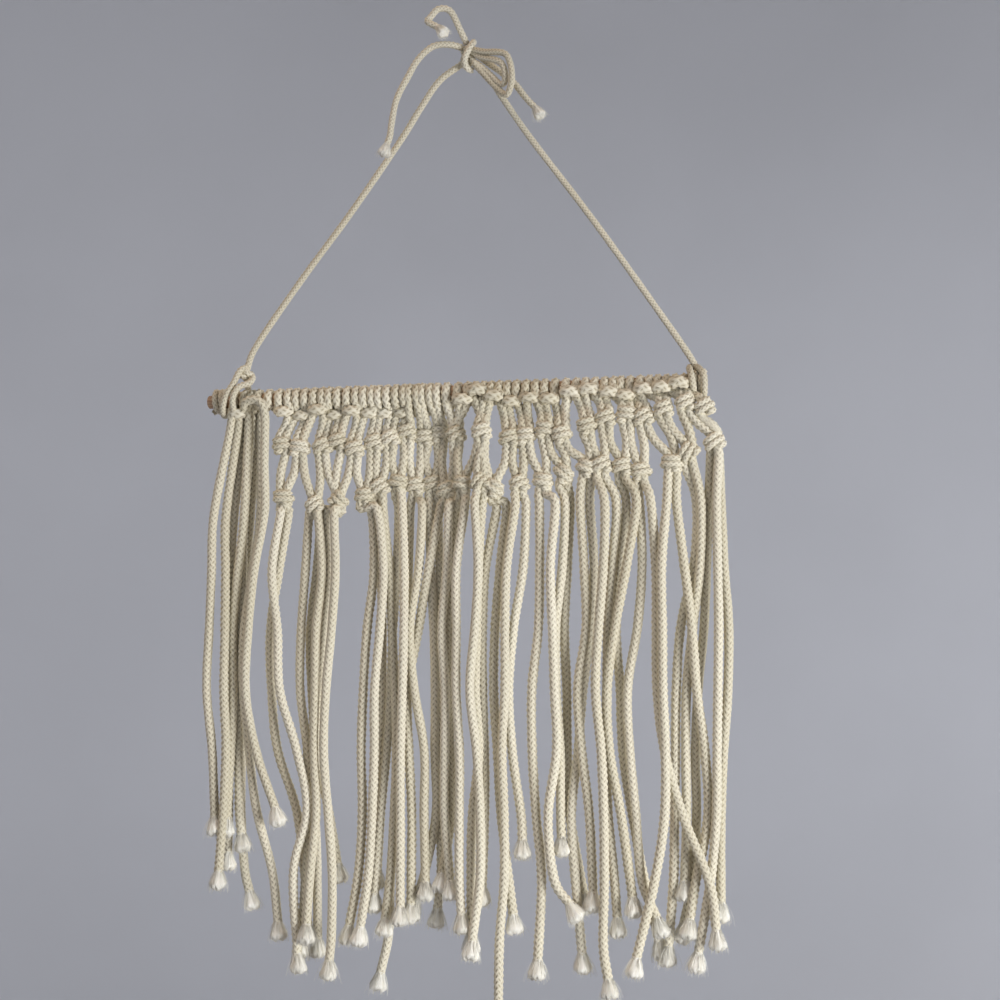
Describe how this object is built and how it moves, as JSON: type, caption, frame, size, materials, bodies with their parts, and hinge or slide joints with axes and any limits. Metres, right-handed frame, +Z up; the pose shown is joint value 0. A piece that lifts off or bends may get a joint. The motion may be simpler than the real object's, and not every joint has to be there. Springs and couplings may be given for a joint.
{
  "type": "macrame wall hanging on a wooden rod",
  "caption": "Macrame wall hanging: a knotted net and long cord fringe on a wooden rod, hung by a tied cord in a triangle.",
  "frame": {"origin": "middle of the tied knot at the top, where the hanging meets its nail or hook", "axes": "+Z up, +Y towards the wall, +X to the right as seen from the room"},
  "size_m": [0.3172, 0.0306, 0.5919],
  "materials": {
    "cotton_braid": "braided natural cotton, matt",
    "cotton_hanger": "braided natural cotton, matt",
    "dowel_wood": "plain wood, matt"
  },
  "bodies": {
    "root": {"rod": "dowel_wood", "macrame": "cotton_braid", "loose_strands": "cotton_braid", "hanger_left": "cotton_hanger", "hanger_right": "cotton_hanger", "tie_knot": "cotton_hanger", "tie_curl": "cotton_hanger", "tie_loop": "cotton_hanger", "tie_tail_left": "cotton_hanger", "tie_tail_right": "cotton_hanger"}
  },
  "joints": []
}
